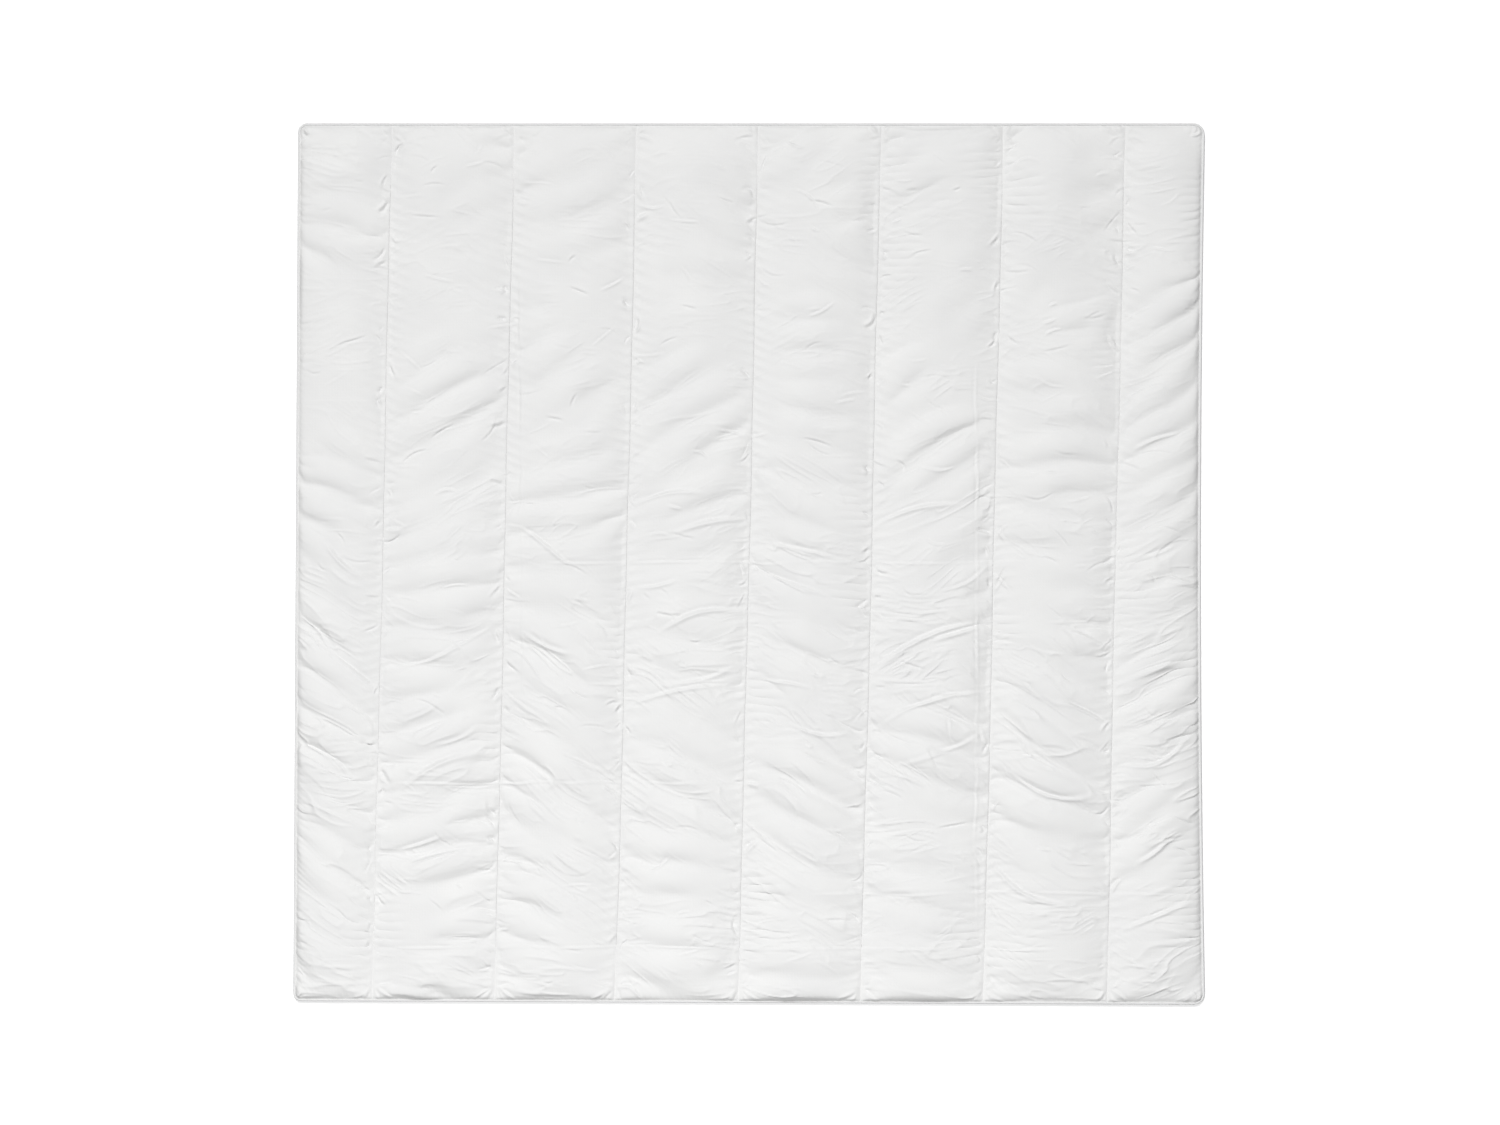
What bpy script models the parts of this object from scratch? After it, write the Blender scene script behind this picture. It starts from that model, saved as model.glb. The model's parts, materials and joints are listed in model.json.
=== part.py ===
"""Channel-quilted duvet, lying flat.

Metres, +Z up. +X runs across the channels and +Y from the foot edge to the head edge.
The origin is the centre of the outline, on the surface that the duvet lies on.

Seven quilting lines join the two covers and make eight channels. The duvet folds at those
lines, so every cover, pad and piping is divided there, one section to a channel.
"""

import math

import bmesh
import bpy
from mathutils import Vector

# Overall sizes
DUVET_WIDTH = 2.25
DUVET_LENGTH = 2.18
CORNER_RADIUS = 0.025

# Quilting lines
LINE_COUNT = 7
LINE_PITCH = 0.303
LINE_LEAN = 0.0485  # how far a line moves to +X from the foot edge to the head edge
HEAD_MARGIN = 0.030  # from the head edge to where the stitching starts
FOOT_MARGIN = 0.037

# Loft, measured from the plane of the quilting lines
TOP_LOFT = 0.032
UNDER_LOFT = 0.008
END_TAPER = 0.150  # run over which a channel thins towards the head and foot edges
UNDER_TAPER = 0.070  # run over which the underside comes down to its flat

# Cloth, thread and piping
COVER_THICKNESS = 0.0004
PAD_EDGE = 0.0004  # thickness of a pad where it is pinched at its rim
THREAD_DIAMETER = 0.0006
PIPING_DIAMETER = 0.006

# Clearances
CLOTH_CLEARANCE = 0.0004  # pad to cover, measured upright
RIM_CLEARANCE = 0.0003  # cover to piping
THREAD_CLEARANCE = 0.00015  # needle thread and bobbin thread, each side of the quilting plane
FOLD_ANGLE = math.radians(120)  # the furthest that two channels fold at a quilting line
FOLD_SLACK = 1.15  # spare room at a full fold

# Worked out from the sizes above
HALF_WIDTH = DUVET_WIDTH / 2
HALF_LENGTH = DUVET_LENGTH / 2
CHANNEL_COUNT = LINE_COUNT + 1
COVER_INSET = PIPING_DIAMETER + RIM_CLEARANCE  # from the outline to the cover's rim
COVER_CORNER = CORNER_RADIUS - COVER_INSET
PAD_TO_COVER = PAD_EDGE / 2 + CLOTH_CLEARANCE
SEAM_HALF = PAD_TO_COVER + COVER_THICKNESS  # half the thickness of a quilted seam
QUILT_PLANE = UNDER_LOFT + SEAM_HALF
FLANK_ANGLE = (math.pi - FOLD_ANGLE) / 2  # room that each side of a fold leaves at its line
FOLD_ROOM = FOLD_SLACK / math.tan(FLANK_ANGLE)
COVER_GAP = SEAM_HALF * FOLD_ROOM  # from a quilting line to the rims beside it
PIPING_GAP = PIPING_DIAMETER / 2 * FOLD_ROOM
THREAD_RAISE = THREAD_DIAMETER / 2 + THREAD_CLEARANCE

# Mesh density
RIM_COLUMN = COVER_CORNER  # the outer cells are as wide as the corner is round
FLANK_STEP = 0.070  # cells beside the rims, where the loft still climbs
END_ROWS = (COVER_CORNER, FLANK_STEP, END_TAPER)
CORNER_STEPS = 6


def line_x(number, y):
    """X of a quilting line at Y. Line 1 is at -X."""
    middle = (LINE_COUNT + 1) / 2
    return (number - middle) * LINE_PITCH + LINE_LEAN * y / DUVET_LENGTH


def left_side(channel, y):
    if channel == 1:
        return COVER_INSET - HALF_WIDTH
    return line_x(channel - 1, y) + COVER_GAP


def right_side(channel, y):
    if channel == CHANNEL_COUNT:
        return HALF_WIDTH - COVER_INSET
    return line_x(channel, y) - COVER_GAP


def rise(distance, reach):
    """Share of the loft at a distance from a rim: 0 at the rim, 1 from reach onwards."""
    left_over = 1 - min(distance / reach, 1.0)
    return 1 - left_over ** 2


def rows():
    """Distances from the foot rim at which a section's cross rows lie."""
    length = DUVET_LENGTH - 2 * COVER_INSET
    foot_rows = [0.0, *END_ROWS]
    head_rows = [length - row for row in reversed(foot_rows)]
    return foot_rows + [length / 2] + head_rows


def columns(width):
    """Distances from the left rim at which a section's columns lie."""
    left_columns = [0.0, RIM_COLUMN, FLANK_STEP]
    right_columns = [width - column for column in reversed(left_columns)]
    return left_columns + [width / 2] + right_columns


def corner_pull(channel, across, along, width, length):
    """Moves a side channel's outer corner points in, onto the round of the corner."""
    pull = COVER_CORNER * (1 - math.sqrt(0.5))
    at_outer_side = (channel == 1 and across == 0) or (channel == CHANNEL_COUNT and across == width)
    if not at_outer_side or along not in (0.0, length):
        return 0.0, 0.0
    return (pull if across == 0 else -pull), (pull if along == 0 else -pull)


def section_points(channel):
    """The plan grid of a channel: X, Y, share of the top loft and share of the under loft."""
    length = DUVET_LENGTH - 2 * COVER_INSET
    points = []
    for along in rows():
        y = along + COVER_INSET - HALF_LENGTH
        left = left_side(channel, y)
        width = right_side(channel, y) - left
        end = min(along, length - along)
        for across in columns(width):
            side = min(across, width - across)
            move_x, move_y = corner_pull(channel, across, along, width, length)
            top = rise(side, width / 2) * rise(end, END_TAPER)
            under = rise(side, UNDER_TAPER) * rise(end, UNDER_TAPER)
            points.append((left + across + move_x, y + move_y, top, under))
    return points


def plain_material(name, colour, roughness):
    material = bpy.data.materials.new(name)
    material.use_nodes = True
    shader = material.node_tree.nodes["Principled BSDF"]
    shader.inputs["Base Color"].default_value = (*colour, 1.0)
    shader.inputs["Roughness"].default_value = roughness
    shader.inputs["Metallic"].default_value = 0.0
    material.diffuse_color = (*colour, 1.0)
    return material


def cover_cloth():
    return plain_material("cover_cloth", (0.83, 0.83, 0.83), 0.85)


def pad_fibre():
    return plain_material("pad_fibre", (0.88, 0.88, 0.87), 0.95)


def sewing_thread():
    return plain_material("sewing_thread", (0.80, 0.80, 0.80), 0.60)


def piping_cloth():
    return plain_material("piping_cloth", (0.82, 0.82, 0.82), 0.80)


def empty_scene():
    for item in list(bpy.data.objects):
        bpy.data.objects.remove(item)
    parts = bpy.data.collections.new("channel_quilted_duvet")
    bpy.context.scene.collection.children.link(parts)
    return parts


def channel_pivots(parts):
    """One empty per channel, on the quilting line that the channel folds about."""
    root = (CHANNEL_COUNT + 1) // 2
    pivots = {}
    for channel in range(1, CHANNEL_COUNT + 1):
        pivot = bpy.data.objects.new(f"pivot_{channel}", None)
        line = channel if channel < root else channel - 1
        x = line_x(line, 0.0) if channel != root else 0.0
        pivot.location = (x, 0.0, QUILT_PLANE)
        pivot.rotation_euler = (0.0, 0.0, -math.atan2(LINE_LEAN, DUVET_LENGTH))
        parts.objects.link(pivot)
        pivots[channel] = pivot
    bpy.context.view_layer.update()
    return pivots


def place(item, pivot, parts, material):
    """Puts the object in the collection, with its origin on its channel's pivot."""
    parts.objects.link(item)
    item.data.materials.append(material)
    item.data.transform(pivot.matrix_world.inverted())
    item.parent = pivot


def cover_section(name, channel, side, pivot, parts, material):
    """An open grid shaped to the loft, with the cloth's thickness from Solidify. side is 1 or -1."""
    points = section_points(channel)
    row_count = len(rows())
    column_count = len(points) // row_count
    shape = bmesh.new()
    bmesh.ops.create_grid(shape, x_segments=column_count - 1, y_segments=row_count - 1, size=0.5)
    order = sorted(shape.verts, key=lambda vert: (round(vert.co.y, 4), round(vert.co.x, 4)))
    for vert, (x, y, top, under) in zip(order, points):
        loft = TOP_LOFT * top if side > 0 else UNDER_LOFT * under
        vert.co = (x, y, QUILT_PLANE + side * (PAD_TO_COVER + loft))
    mesh = bpy.data.meshes.new(name)
    shape.to_mesh(mesh)
    shape.free()
    item = bpy.data.objects.new(name, mesh)
    place(item, pivot, parts, material)
    cloth = item.modifiers.new("cloth_thickness", "SOLIDIFY")
    cloth.thickness = COVER_THICKNESS
    cloth.offset = side
    cloth.use_even_offset = True


def pad_section(name, channel, pivot, parts, material):
    """The filling of one channel: a divided box whose two faces follow the loft."""
    points = section_points(channel)
    row_count = len(rows())
    column_count = len(points) // row_count
    shape = bmesh.new()
    bmesh.ops.create_grid(shape, x_segments=column_count - 1, y_segments=row_count - 1, size=0.5)
    raised = bmesh.ops.extrude_face_region(shape, geom=shape.faces[:])
    upper = {item for item in raised["geom"] if isinstance(item, bmesh.types.BMVert)}
    for lift, group in ((1, upper), (-1, set(shape.verts) - upper)):
        order = sorted(group, key=lambda vert: (round(vert.co.y, 4), round(vert.co.x, 4)))
        for vert, (x, y, top, under) in zip(order, points):
            loft = TOP_LOFT * top if lift > 0 else UNDER_LOFT * under
            vert.co = (x, y, QUILT_PLANE + lift * (PAD_EDGE / 2 + loft))
    bmesh.ops.recalc_face_normals(shape, faces=shape.faces[:])
    mesh = bpy.data.meshes.new(name)
    shape.to_mesh(mesh)
    shape.free()
    place(bpy.data.objects.new(name, mesh), pivot, parts, material)


def round_cord(name, points, diameter, pivot, parts, material):
    """A capped tube along straight runs and arcs."""
    curve = bpy.data.curves.new(name, "CURVE")
    curve.dimensions = "3D"
    curve.bevel_depth = diameter / 2
    curve.bevel_resolution = 2
    curve.use_fill_caps = True
    spline = curve.splines.new("POLY")
    spline.points.add(len(points) - 1)
    for point, place_of_point in zip(spline.points, points):
        point.co = (*place_of_point, 1.0)
    place(bpy.data.objects.new(name, curve), pivot, parts, material)


def quilting_threads(line, pivot, parts, material):
    """The needle thread lies on the top of the quilting line, the bobbin thread under it."""
    foot = FOOT_MARGIN - HALF_LENGTH
    head = HALF_LENGTH - HEAD_MARGIN
    for name, side in (("needle_thread", 1), ("bobbin_thread", -1)):
        z = QUILT_PLANE + side * THREAD_RAISE
        ends = [Vector((line_x(line, y), y, z)) for y in (foot, head)]
        round_cord(f"{name}_{line}", ends, THREAD_DIAMETER, pivot, parts, material)


def end_piping(channel, end, pivot, parts, material):
    """Straight piping along the head edge (end 1) or the foot edge (end -1) of a middle channel."""
    y = end * (HALF_LENGTH - PIPING_DIAMETER / 2)
    left = line_x(channel - 1, y) + PIPING_GAP
    right = line_x(channel, y) - PIPING_GAP
    name = "head_piping" if end > 0 else "foot_piping"
    points = [Vector((x, y, QUILT_PLANE)) for x in (left, right)]
    round_cord(f"{name}_{channel}", points, PIPING_DIAMETER, pivot, parts, material)


def side_piping(side, pivot, parts, material):
    """Piping down one side and round its two corners, to the nearest quilting line."""
    line = 1 if side < 0 else LINE_COUNT
    reach_x = HALF_WIDTH - PIPING_DIAMETER / 2
    reach_y = HALF_LENGTH - PIPING_DIAMETER / 2
    radius = CORNER_RADIUS - PIPING_DIAMETER / 2
    points = []
    for end in (1, -1):
        arc = []
        for step in range(CORNER_STEPS + 1):
            angle = math.pi / 2 * step / CORNER_STEPS
            x = side * (reach_x - radius + radius * math.sin(angle))
            y = end * (reach_y - radius + radius * math.cos(angle))
            arc.append(Vector((x, y, QUILT_PLANE)))
        inner_x = line_x(line, end * reach_y) + side * PIPING_GAP
        run = [Vector((inner_x, end * reach_y, QUILT_PLANE)), *arc]
        points += run if end > 0 else reversed(run)
    name = "left_piping" if side < 0 else "right_piping"
    round_cord(name, points, PIPING_DIAMETER, pivot, parts, material)


def build():
    parts = empty_scene()
    pivots = channel_pivots(parts)
    cloth = cover_cloth()
    fibre = pad_fibre()
    thread = sewing_thread()
    edging = piping_cloth()
    for channel, pivot in pivots.items():
        cover_section(f"top_cover_{channel}", channel, 1, pivot, parts, cloth)
        pad_section(f"filling_{channel}", channel, pivot, parts, fibre)
        cover_section(f"bottom_cover_{channel}", channel, -1, pivot, parts, cloth)
    for line in range(1, LINE_COUNT + 1):
        quilting_threads(line, pivots[line], parts, thread)
    for channel in range(2, CHANNEL_COUNT):
        end_piping(channel, 1, pivots[channel], parts, edging)
        end_piping(channel, -1, pivots[channel], parts, edging)
    side_piping(-1, pivots[1], parts, edging)
    side_piping(1, pivots[CHANNEL_COUNT], parts, edging)


build()
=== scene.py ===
import json
import math
import bpy
import numpy as np
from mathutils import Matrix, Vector


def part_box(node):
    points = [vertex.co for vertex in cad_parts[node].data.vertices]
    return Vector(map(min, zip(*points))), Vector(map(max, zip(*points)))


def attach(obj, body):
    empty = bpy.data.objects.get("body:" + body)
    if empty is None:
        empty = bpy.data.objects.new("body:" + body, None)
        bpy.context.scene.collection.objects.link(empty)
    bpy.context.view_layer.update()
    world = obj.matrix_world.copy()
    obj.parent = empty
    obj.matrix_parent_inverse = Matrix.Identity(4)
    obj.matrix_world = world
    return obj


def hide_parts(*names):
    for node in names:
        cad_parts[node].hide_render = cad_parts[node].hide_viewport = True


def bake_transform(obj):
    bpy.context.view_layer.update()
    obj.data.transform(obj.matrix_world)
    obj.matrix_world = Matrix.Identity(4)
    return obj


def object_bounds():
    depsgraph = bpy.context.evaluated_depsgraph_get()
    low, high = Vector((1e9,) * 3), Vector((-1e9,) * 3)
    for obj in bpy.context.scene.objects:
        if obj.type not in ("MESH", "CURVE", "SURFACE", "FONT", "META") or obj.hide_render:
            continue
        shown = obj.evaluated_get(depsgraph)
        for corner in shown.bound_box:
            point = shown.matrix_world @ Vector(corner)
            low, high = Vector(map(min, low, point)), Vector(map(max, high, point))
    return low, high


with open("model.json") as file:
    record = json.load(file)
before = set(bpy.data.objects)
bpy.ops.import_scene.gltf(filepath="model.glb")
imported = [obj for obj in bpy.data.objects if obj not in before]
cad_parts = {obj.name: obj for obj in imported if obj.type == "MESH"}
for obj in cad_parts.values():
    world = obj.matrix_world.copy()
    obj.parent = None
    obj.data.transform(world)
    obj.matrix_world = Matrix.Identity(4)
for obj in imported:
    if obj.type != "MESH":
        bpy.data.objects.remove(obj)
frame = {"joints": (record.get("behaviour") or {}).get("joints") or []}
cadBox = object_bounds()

scene = bpy.context.scene
single = np.float32

# What the frame says: the outline box, the quilting lines and the plane that they lie in
joints = {joint["name"]: joint for joint in frame["joints"]}
lineCount = len(joints)
channelCount = lineCount + 1
lineJoints = [joints[f"fold_{n}"] for n in range(1, lineCount + 1)]
lineAt = [joint["pos_m"][0] for joint in lineJoints]
lineLean = [joint["axis"][0] / joint["axis"][1] for joint in lineJoints]
plane = lineJoints[0]["pos_m"][2]
halfWide = cadBox[1][0]
halfLong = cadBox[1][1]
crownTop = cadBox[1][2]
threadLow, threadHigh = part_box("needle_thread_4")
stitchFoot = threadLow[1]
stitchHead = threadHigh[1]
cordLow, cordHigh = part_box("head_piping_4")
cordRadius = (cordHigh[2] - cordLow[2]) / 2
print("frame: %d channels, quilting plane at %.1f mm" % (channelCount, plane * 1000))


# small helpers
def ramp(value, low, high):
    t = np.clip((value - low) / (high - low), 0, 1)
    return t * t * (3 - 2 * t)


def softNoise(x, y, sizeX, sizeY, seed):
    # smooth random hills, about -1 to 1, of the given size in metres
    u = (x + 2) / sizeX
    v = (y + 2) / sizeY
    shape = (int(v.max()) + 3, int(u.max()) + 3)
    hills = np.random.default_rng(seed).standard_normal(shape).astype(single)
    i = v.astype(int)
    j = u.astype(int)
    s = v - i
    t = u - j
    s = s * s * (3 - 2 * s)
    t = t * t * (3 - 2 * t)
    lower = hills[i, j] * (1 - t) + hills[i, j + 1] * t
    upper = hills[i + 1, j] * (1 - t) + hills[i + 1, j + 1] * t
    return lower * (1 - s) + upper * s


def cubicRows(places, count):
    # one row of weights for each place, a place being a fractional index into count points
    places = np.clip(places, 0, count - 1)
    first = np.minimum(places.astype(int), count - 2)
    t = places - first
    weights = np.zeros((len(places), count))
    parts = (-0.5 * t + t ** 2 - 0.5 * t ** 3, 1 - 2.5 * t ** 2 + 1.5 * t ** 3,
             0.5 * t + 2 * t ** 2 - 1.5 * t ** 3, -0.5 * t ** 2 + 0.5 * t ** 3)
    for step, part in zip((-1, 0, 1, 2), parts):
        at = np.clip(first + step, 0, count - 1)
        np.add.at(weights, (np.arange(len(places)), at), part)
    return weights.astype(single)


# outline and quilting lines
duvet = {
    "rimInset": 0.0050,       # from the outline to where the cloth goes under the piping
    "cornerRadii": (0.019, 0.027, 0.024, 0.029),   # foot left, foot right, head left, head right
    "lineDrift": (0.000, 0.000, -0.006, -0.004, -0.003, -0.001, 0.002),   # at the foot
    "leftBow": (-0.005, 0.007),    # how far the left edge stands to +X at the foot and at the head
    "rightWaist": 0.011,      # how much the right edge pulls in at the middle
    "footSkew": (0.004, -0.005),   # how far the foot edge stands to +Y at the left and at the right
    "stripHalf": 0.017,       # half the width of the strip of cloth that bends at a quilting line
    "bendHalf": 0.0095,
}
cornerSigns = ((-1, -1), (1, -1), (-1, 1), (1, 1))


def lineX(n, y):
    # line n, counted from 1, with the small waver of a hand-guided seam
    drift = duvet["lineDrift"][n - 1] * np.clip(-y / halfLong, 0, 1) ** 2
    waver = 0.0010 * np.sin(y * 5.1 + n * 1.7) + 0.0005 * np.sin(y * 17 + n * 2.9)
    return lineAt[n - 1] + lineLean[n - 1] * y + drift + waver


def bowed(x, y):
    # the uneven outline of a soft thing laid out by hand
    side = abs(lineAt[0]) - 0.02
    leftShare = np.clip((-x - side) / (halfWide - side), 0, 1)
    rightShare = np.clip((x - side) / (halfWide - side), 0, 1)
    up = np.clip((y / halfLong + 1) / 2, 0, 1)
    left = duvet["leftBow"][0] * (1 - up) + duvet["leftBow"][1] * up
    right = duvet["rightWaist"] * ((y / halfLong) ** 2 - 0.5)
    footShare = np.clip((-y - 0.6) / (halfLong - 0.6), 0, 1)
    across = np.clip((x / halfWide + 1) / 2, 0, 1)
    foot = duvet["footSkew"][0] * (1 - across) + duvet["footSkew"][1] * across
    return x + leftShare * left + rightShare * right, y + footShare * foot


def rounded(x, y, inset):
    # turns the square corners of a grid into round ones
    x = x.copy()
    y = y.copy()
    for (signX, signY), radius in zip(cornerSigns, duvet["cornerRadii"]):
        r = radius - inset
        u = (signX * x - (halfWide - inset - r)) / r
        v = (signY * y - (halfLong - inset - r)) / r
        at = (u > 0) & (v > 0)
        u = np.clip(u, 0, 1)
        v = np.clip(v, 0, 1)
        x = np.where(at, signX * (halfWide - inset - r + r * u * np.sqrt(1 - v * v / 2)), x)
        y = np.where(at, signY * (halfLong - inset - r + r * v * np.sqrt(1 - u * u / 2)), y)
    return x, y


def channelEdges(y):
    inner = [lineX(n, y) for n in range(1, lineCount + 1)]
    rim = halfWide - duvet["rimInset"]
    return [np.full_like(y, -rim)] + inner + [np.full_like(y, rim)]


def layOut(y, shares):
    # x and y of each grid point on the flat, the channel of each column and its share of the way across
    edges = channelEdges(y)
    columns = []
    for c in range(channelCount):
        for t in shares[c]:
            columns.append(edges[c] * (1 - t) + edges[c + 1] * t)
    x = np.stack(columns, 1)
    channel = np.concatenate([np.full(len(shares[c]), c) for c in range(channelCount)])
    share = np.concatenate([np.asarray(s, float) for s in shares])
    return x, np.repeat(y[:, None], x.shape[1], 1), channel, share


def evenShares(spacing):
    # the same number of steps in every channel of one width; only the last channel has its far edge
    edges = [float(e) for e in np.array(channelEdges(np.zeros(1)))[:, 0]]
    shares = []
    for c in range(channelCount):
        steps = max(int(round((edges[c + 1] - edges[c]) / spacing / 2)) * 2, 4)
        ends = steps + 1 if c == channelCount - 1 else steps
        shares.append(np.arange(ends) / steps)
    return shares


# the loft that the filling gives
loft = {
    "top": 0.0205,            # mean height of a channel's crown over the quilting plane
    "sideTop": 0.0185,        # the same for the two narrow side channels
    "under": plane - 0.0006,
    "endTaper": 0.125,        # run over which a channel thins towards the head and foot edges
    "underTaper": 0.060,
    "roundness": 2.15,
    "lumps": 0.0022,          # unevenness of the fibre
}


def loftShare(x, y, channel, share, taper, reachMost):
    edges = channelEdges(y[:, 0])
    wide = np.stack([edges[c + 1] - edges[c] for c in channel], 1)
    near = np.minimum(share[None, :], 1 - share[None, :]) * wide
    reach = np.minimum(wide / 2, reachMost)
    across = 1 - (1 - np.clip(near / reach, 0, 1)) ** loft["roundness"]
    toEnd = halfLong - duvet["rimInset"] - np.abs(y)
    along = 1 - (1 - np.clip(toEnd / taper, 0, 1)) ** loft["roundness"]
    # past the ends of the stitching the filling runs through, so the lines open out
    past = np.maximum(y - stitchHead, stitchFoot - y)
    openEnd = ramp(past, -0.012, 0.024)
    across = across * (1 - 0.85 * openEnd) + 0.85 * openEnd
    return across * along


def topLoft(x, y, channel, share):
    height = np.where((channel == 0) | (channel == channelCount - 1), loft["sideTop"], loft["top"])
    body = loftShare(x, y, channel, share, loft["endTaper"], 1)
    lumps = softNoise(x, y, 0.16, 0.22, 11) + 0.5 * softNoise(x, y, 0.07, 0.10, 12)
    return (plane + body * (height[None, :] + loft["lumps"] * lumps)).astype(single)


def underLoft(x, y, channel, share):
    body = loftShare(x, y, channel, share, loft["underTaper"], loft["underTaper"])
    return (plane - body * loft["under"]).astype(single)


# cloth simulation
# Our own cloth solver, in numpy: a sheet with more length than the filling under it needs, held down
# along the stitching and at the piping. The spare length buckles into the wrinkles of a real quilt.
topCloth = {
    "spacing": 0.009,         # of the first pass; each later pass has half the spacing of the one before
    # for each pass: steps, stiffness against bending, how hard the filling holds the cloth,
    # the share of the spare length that it takes up, and how patchy its wrinkles are
    "passes": ((240, 0.012, 0.0010, 0.58, 0.8), (150, 0.0045, 0.0002, 0.68, 0.9)),
    "relief": 0.98,           # share of the folds' height that stays
    "noise": 0.0015,
    "spareAcross": 0.0025,
    "seed": 7,
    # spare length along the channels, by share of the length from the foot
    "spareAlong": ((0, 0.030), (0.25, 0.032), (0.45, 0.030), (0.60, 0.020), (0.75, 0.017), (1, 0.026)),
    # pulls aslant, which turn the wrinkles: in each channel below and above the middle (+ falls to the right)
    "pulls": {
        1: (0.048, 0.030), 2: (-0.030, -0.040), 3: (0.050, -0.010), 4: (0.034, -0.036),
        5: (0.045, 0.026), 6: (0.035, -0.036), 7: (0.048, 0.020), 8: (-0.040, -0.052),
    },
    "pullAt": (0.28, 0.62),       # shares of the length
    "pullReach": (0.17, 0.34),    # across and along, in metres
    "calmPlaces": 8,              # with less spare cloth, mostly toward the head
    "calmFrom": 0.40,             # share of the length
    "calmReach": (0.18, 0.26),
    "calmKeeps": (0.60, 0.78),
}
underCloth = {
    "spacing": 0.009,
    "passes": ((160, 0.010, 0.0040, 1.0, 0.5),),
    "relief": 1.0,
    "noise": 0.0012,
    "spareAcross": 0.004,
    "seed": 23,
    "spareAlong": ((0, 0.022), (1, 0.022)),
    "pulls": {3: (0.022, 0.0), 6: (0.0, -0.022)},
    "pullAt": (0.35, 0.68),
    "pullReach": (0.40, 0.40),
    "calmPlaces": 0,
}


def placeAt(share, half):
    # where a share of the whole width or length lies, from the edge at -half
    return half * (2 * share - 1)


def channelSides(channel, y):
    # the seam or outer edge on each side of a channel, at y
    edges = channelEdges(np.array([y]))
    return float(edges[channel - 1][0]), float(edges[channel][0])


def patch(x, y, middle, reach):
    return np.exp(-((x - middle[0]) / reach[0]) ** 2 - ((y - middle[1]) / reach[1]) ** 2)


def spareCloth(x, y, share, cloth, level):
    # how much longer the cloth is than the filling, along and across, and how it is pulled aslant
    stops = np.array(cloth["spareAlong"])
    part, patchy = cloth["passes"][level][3:]
    along = np.interp(y, placeAt(stops[:, 0], halfLong), stops[:, 1])
    fold = 0.7 ** level
    uneven = softNoise(x, y, 0.17 * fold, 0.12 * fold, cloth["seed"] + 1 + 10 * level)
    along = along * part * np.clip(1 + patchy * uneven, 0.15, 2.4)
    rng = np.random.default_rng(cloth["seed"] + 4)
    for _ in range(cloth["calmPlaces"]):
        middle = (rng.uniform(-halfWide, halfWide), placeAt(rng.uniform(cloth["calmFrom"], 1), halfLong))
        reach = rng.uniform(*cloth["calmReach"], 2)
        along = along * (1 - (1 - rng.uniform(*cloth["calmKeeps"])) * patch(x, y, middle, reach))
    across = cloth["spareAcross"] * (1 + 0.4 * softNoise(x, y, 0.10, 0.20, cloth["seed"] + 2))
    pull = 0.022 * softNoise(x, y, 0.11, 0.11, cloth["seed"] + 3)
    # swags arch over each channel in the upper half
    pull = pull + 0.030 * ramp(y, -0.1, 0.5) * (2 * share[None, :] - 1)
    for number, amounts in cloth["pulls"].items():
        for place, amount in zip(cloth["pullAt"], amounts):
            middleY = placeAt(place, halfLong)
            middle = (sum(channelSides(number, middleY)) / 2, middleY)
            pull = pull + amount * patch(x, y, middle, cloth["pullReach"])
    return along.astype(single), across.astype(single), pull.astype(single)


def holdDown(y, channel, share):
    # 0 where the cloth is sewn down: round the rim, and at the quilting lines where they are stitched
    free = np.ones((len(y), len(channel)), single)
    free[0] = free[-1] = 0
    free[:, 0] = free[:, -1] = 0
    stitched = (y >= stitchFoot) & (y <= stitchHead)
    for column in np.flatnonzero((share == 0) & (channel > 0)):
        free[stitched, column] = 0
    return free


def springs(points, rest, free, along, across, pull):
    # every neighbour pair as (first, second, rest length, shares of the move, push back)
    pairs = []
    rows, columns = free.shape
    span = slice(None)

    def add(first, second, push):
        step = rest[second] - rest[first]
        dx = step[..., 0] * (1 + (across[first] + across[second]) / 2)
        dy = step[..., 1] * (1 + (along[first] + along[second]) / 2)
        aslant = (pull[first] + pull[second]) / 2
        length = np.sqrt(dx ** 2 + dy ** 2 + step[..., 2] ** 2 + 2 * aslant * dx * dy)
        total = free[first] + free[second]
        total[total == 0] = 1
        pairs.append((first, second, length.astype(single), (free[first] / total)[..., None],
                      (free[second] / total)[..., None], push))

    for start in (0, 1):
        add((span, slice(start, columns - 1, 2)), (span, slice(start + 1, columns, 2)), (1.0, 0.7))
        add((slice(start, rows - 1, 2), span), (slice(start + 1, rows, 2), span), (1.0, 0.7))
    for start in (0, 1):
        above = slice(start + 1, rows, 2)
        below = slice(start, rows - 1, 2)
        add((below, slice(0, columns - 1)), (above, slice(1, columns)), (0.45, 0.3))
        add((below, slice(1, columns)), (above, slice(0, columns - 1)), (0.45, 0.3))
    return pairs


def spread(z):
    # how far each point lies from its neighbours' mean, times four
    out = np.zeros_like(z)
    out[1:-1, 1:-1] = z[2:, 1:-1] + z[:-2, 1:-1] + z[1:-1, 2:] + z[1:-1, :-2] - 4 * z[1:-1, 1:-1]
    return out


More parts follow.
